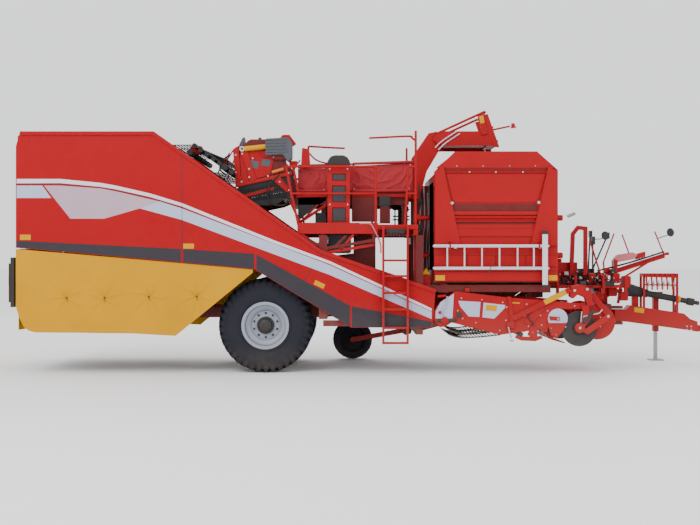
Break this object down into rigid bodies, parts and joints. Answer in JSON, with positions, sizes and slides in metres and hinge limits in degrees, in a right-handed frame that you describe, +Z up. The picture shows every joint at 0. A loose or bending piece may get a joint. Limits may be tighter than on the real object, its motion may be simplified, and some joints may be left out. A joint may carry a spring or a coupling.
{
  "type": "potato harvester",
  "caption": "Trailed potato harvester with digging intake, sieving webs, picking table, raised bunker, side canvases and a steered drawbar, parked on its jack.",
  "frame": {"origin": "on the ground under the middle of the outline", "axes": "+X to the front of the machine (travel), +Y to its left, +Z up"},
  "size_m": [12.4034, 3.02, 4.4885],
  "materials": {
    "bunker": "red gloss paint",
    "bunker_outlet": "red gloss paint",
    "canvas_front": "coated canvas, matt",
    "canvas_rear": "coated canvas, matt",
    "control_column": "red gloss paint",
    "coulter_left": "bare",
    "coulter_right": "bare",
    "curtain_left": "coated canvas, matt",
    "curtain_rear": "coated canvas, matt",
    "curtain_right": "coated canvas, matt",
    "drawbar": "red gloss paint",
    "elevator": "rubber belts and bars",
    "feed_conveyor": "red gloss paint",
    "filling_neck": "red gloss paint",
    "front_arch": "red gloss paint",
    "gearbox": "grey paint",
    "hose_boom": "black paint",
    "intake_frame": "red gloss paint",
    "intake_web": "rubber belts and bars",
    "jack_leg": "bare",
    "knuckle_left": "black paint",
    "knuckle_right": "black paint",
    "ladder_lower": "red gloss paint",
    "ladder_upper": "red gloss paint",
    "lamp_bracket_left": "black paint",
    "lamp_bracket_right": "black paint",
    "lift_cylinder_right_barrel": "black paint",
    "lift_cylinder_right_rod": "bare",
    "main_frame": "dark red paint",
    "oil_tank": "red gloss paint",
    "picking_table": "red gloss paint",
    "platform_left": "red gloss paint",
    "platform_right": "red gloss paint",
    "rear_hood": "red gloss paint",
    "ridge_roller_left": "red gloss paint",
    "ridge_roller_right": "red gloss paint",
    "rim_left": "silver paint, satin",
    "rim_right": "silver paint, satin",
    "separator": "dark red paint",
    "shaft_guard": "black",
    "side_panel_front_left": "red gloss paint",
    "side_panel_front_right": "red gloss paint",
    "side_panel_rear_left": "red gloss paint",
    "side_panel_rear_right": "red gloss paint",
    "spare_ladder": "drawn",
    "steer_cylinder_barrel": "black paint",
    "steer_cylinder_rod": "bare",
    "support_arm": "red gloss paint",
    "support_wheel": "black rubber",
    "tyre_left": "black rubber",
    "tyre_right": "black rubber",
    "valve_block": "black paint",
    "web_front": "rubber belts and bars",
    "web_lower": "rubber belts and bars",
    "web_rear": "rubber belts and bars",
    "web_upper": "rubber belts and bars"
  },
  "bodies": {
    "chassis": {"bunker": "bunker", "canvas_front": "canvas_front", "canvas_rear": "canvas_rear", "control_column": "control_column", "curtain_left": "curtain_left", "curtain_rear": "curtain_rear", "curtain_right": "curtain_right", "elevator": "elevator", "feed_conveyor": "feed_conveyor", "front_arch": "front_arch", "gearbox": "gearbox", "hose_boom": "hose_boom", "ladder_upper": "ladder_upper", "lamp_bracket_left": "lamp_bracket_left", "lamp_bracket_right": "lamp_bracket_right", "main_frame": "main_frame", "oil_tank": "oil_tank", "picking_table": "picking_table", "platform_left": "platform_left", "platform_right": "platform_right", "rear_hood": "rear_hood", "separator": "separator", "side_panel_front_left": "side_panel_front_left", "side_panel_front_right": "side_panel_front_right", "side_panel_rear_left": "side_panel_rear_left", "side_panel_rear_right": "side_panel_rear_right", "spare_ladder": "spare_ladder", "valve_block": "valve_block", "web_front": "web_front", "web_lower": "web_lower", "web_rear": "web_rear", "web_upper": "web_upper"},
    "knuckle_right": {"knuckle_right": "knuckle_right"},
    "wheel_right": {"rim_right": "rim_right", "tyre_right": "tyre_right"},
    "knuckle_left": {"knuckle_left": "knuckle_left"},
    "wheel_left": {"rim_left": "rim_left", "tyre_left": "tyre_left"},
    "ladder_step": {"ladder_lower": "ladder_lower"},
    "outlet": {"bunker_outlet": "bunker_outlet"},
    "neck": {"filling_neck": "filling_neck"},
    "drawbar": {"drawbar": "drawbar", "shaft_guard": "shaft_guard"},
    "jack": {"jack_leg": "jack_leg"},
    "steer_barrel": {"steer_cylinder_barrel": "steer_cylinder_barrel"},
    "steer_rod": {"steer_cylinder_rod": "steer_cylinder_rod"},
    "intake": {"intake_frame": "intake_frame", "intake_web": "intake_web"},
    "coulter_right": {"coulter_right": "coulter_right"},
    "coulter_left": {"coulter_left": "coulter_left"},
    "ridge_roller_right": {"ridge_roller_right": "ridge_roller_right"},
    "ridge_roller_left": {"ridge_roller_left": "ridge_roller_left"},
    "lift_barrel": {"lift_cylinder_right_barrel": "lift_cylinder_right_barrel"},
    "lift_rod": {"lift_cylinder_right_rod": "lift_cylinder_right_rod"},
    "support_arm": {"support_arm": "support_arm"},
    "support_wheel": {"support_wheel": "support_wheel"}
  },
  "joints": [
    {"name": "steer_right", "type": "hinge", "parent": "chassis", "child": "knuckle_right", "pos_m": [-1.9317, -0.75, 0.8], "axis": [0, 0, 1], "range_deg": [-10, 10]},
    {"name": "steer_left", "type": "hinge", "parent": "chassis", "child": "knuckle_left", "pos_m": [-1.9317, 0.85, 0.8], "axis": [0, 0, 1], "range_deg": [-10, 10]},
    {"name": "wheel_right_spin", "type": "hinge", "parent": "knuckle_right", "child": "wheel_right", "pos_m": [-1.9317, -0.93, 0.8], "axis": [0, 1, 0], "continuous": true},
    {"name": "wheel_left_spin", "type": "hinge", "parent": "knuckle_left", "child": "wheel_left", "pos_m": [-1.9317, 1.03, 0.8], "axis": [0, 1, 0], "continuous": true},
    {"name": "ladder_step_fold", "type": "hinge", "parent": "chassis", "child": "ladder_step", "pos_m": [0.2523, -1.518, 0.94], "axis": [-1, 0, 0], "range_deg": [0, 170]},
    {"name": "outlet_lower", "type": "hinge", "parent": "chassis", "child": "outlet", "pos_m": [1.9283, 1.35, 1.63], "axis": [-1, 0, 0], "range_deg": [0, 75]},
    {"name": "neck_lower", "type": "hinge", "parent": "chassis", "child": "neck", "pos_m": [0.9983, -0.265, 4], "axis": [0, 1, 0], "range_deg": [0, 35]},
    {"name": "drawbar_swing", "type": "hinge", "parent": "chassis", "child": "drawbar", "pos_m": [4.5183, 0.8, 0.86], "axis": [0, 0, 1], "range_deg": [-15, 15]},
    {"name": "jack_slide", "type": "slide", "parent": "drawbar", "child": "jack", "axis": [0, 0, 1], "range_m": [0, 0.35]},
    {"name": "steer_barrel_swing", "type": "hinge", "parent": "chassis", "child": "steer_barrel", "pos_m": [4.3583, 1.15, 0.85], "axis": [0, 0, 1], "range_deg": [-11.03, 11.03]},
    {"name": "steer_rod_slide", "type": "slide", "parent": "steer_barrel", "child": "steer_rod", "axis": [0.9927, -0.1203, 0], "range_m": [-0.0876, 0.0876]},
    {"name": "intake_lift", "type": "hinge", "parent": "chassis", "child": "intake", "pos_m": [1.0783, -0.525, 0.9], "axis": [0, -1, 0], "range_deg": [-11.5, 3]},
    {"name": "coulter_right_spin", "type": "hinge", "parent": "intake", "child": "coulter_right", "pos_m": [3.3283, -1.334, 0.758], "axis": [0, 1, 0], "continuous": true},
    {"name": "coulter_left_spin", "type": "hinge", "parent": "intake", "child": "coulter_left", "pos_m": [3.3283, 0.276, 0.758], "axis": [0, 1, 0], "continuous": true},
    {"name": "ridge_roller_right_spin", "type": "hinge", "parent": "intake", "child": "ridge_roller_right", "pos_m": [3.6633, -0.892, 0.866], "axis": [0, 1, 0], "continuous": true},
    {"name": "ridge_roller_left_spin", "type": "hinge", "parent": "intake", "child": "ridge_roller_left", "pos_m": [3.6633, -0.159, 0.866], "axis": [0, 1, 0], "continuous": true},
    {"name": "lift_barrel_swing", "type": "hinge", "parent": "chassis", "child": "lift_barrel", "pos_m": [1.1983, -1.07, 1.285], "axis": [0, -1, 0], "range_deg": [-12.31, 3.58]},
    {"name": "lift_rod_slide", "type": "slide", "parent": "lift_barrel", "child": "lift_rod", "axis": [0.9861, 0, -0.1663], "range_m": [-0.023, 0.0826]},
    {"name": "support_arm_lift", "type": "hinge", "parent": "chassis", "child": "support_arm", "pos_m": [0.5483, 1.11, 0.56], "axis": [0, 1, 0], "range_deg": [-8, 20]},
    {"name": "support_wheel_spin", "type": "hinge", "parent": "support_arm", "child": "support_wheel", "pos_m": [-0.4517, 1.2803, 0.38], "axis": [0, 1, 0], "continuous": true}
  ],
  "couplings": [
    {"joint": "steer_left", "follows": "steer_right", "ratio": 1},
    {"joint": "steer_barrel_swing", "follows": "drawbar_swing", "ratio": 0.70209},
    {"joint": "steer_rod_slide", "follows": "drawbar_swing", "m_per_rad": -0.32682},
    {"joint": "lift_barrel_swing", "follows": "intake_lift", "ratio": 1.0274},
    {"joint": "lift_rod_slide", "follows": "intake_lift", "m_per_rad": -0.40144}
  ]
}
